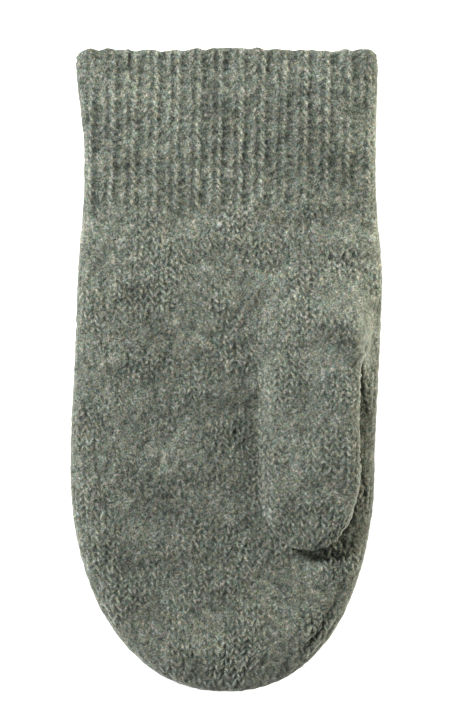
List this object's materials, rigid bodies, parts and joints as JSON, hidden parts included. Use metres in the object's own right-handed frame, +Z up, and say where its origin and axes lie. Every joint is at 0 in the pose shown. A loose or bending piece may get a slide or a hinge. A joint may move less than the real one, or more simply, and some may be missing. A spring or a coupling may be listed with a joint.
{
  "type": "knitted mitten",
  "caption": "Felted wool mitten for the left hand with a ribbed cuff, rounded fingertips and a thumb folded flat over the palm.",
  "frame": {"origin": "on the surface that the mitten lies on, under the middle of its box", "axes": "+Y from the fingertips to the cuff, +X across the hand towards the thumb side, +Z up out of the palm"},
  "size_m": [0.1261, 0.26, 0.024],
  "materials": {
    "ribbed_wool": "felted heather wool, ribbed knit",
    "plain_wool": "felted heather wool, plain knit",
    "edge_wool": "felted heather wool, edge stitches"
  },
  "bodies": {
    "hand": {"cast_on_edge": "ribbed_wool", "cuff_palm_side": "ribbed_wool", "cuff_back_side": "ribbed_wool", "palm": "plain_wool", "back_of_hand": "plain_wool", "little_finger_side_band": "edge_wool", "thumb_side_band": "edge_wool", "fingertip_closure": "edge_wool", "thumb_opening_edge": "edge_wool", "thumb_base": "plain_wool"},
    "thumb": {"thumb_front": "plain_wool", "thumb_underside": "plain_wool", "thumb_tip_closure": "edge_wool"}
  },
  "joints": [
    {"name": "thumb_lift", "type": "hinge", "parent": "hand", "child": "thumb", "pos_m": [0.0335, 0.009, 0.0183], "axis": [-1, 0, 0], "range_deg": [0, 80]}
  ]
}
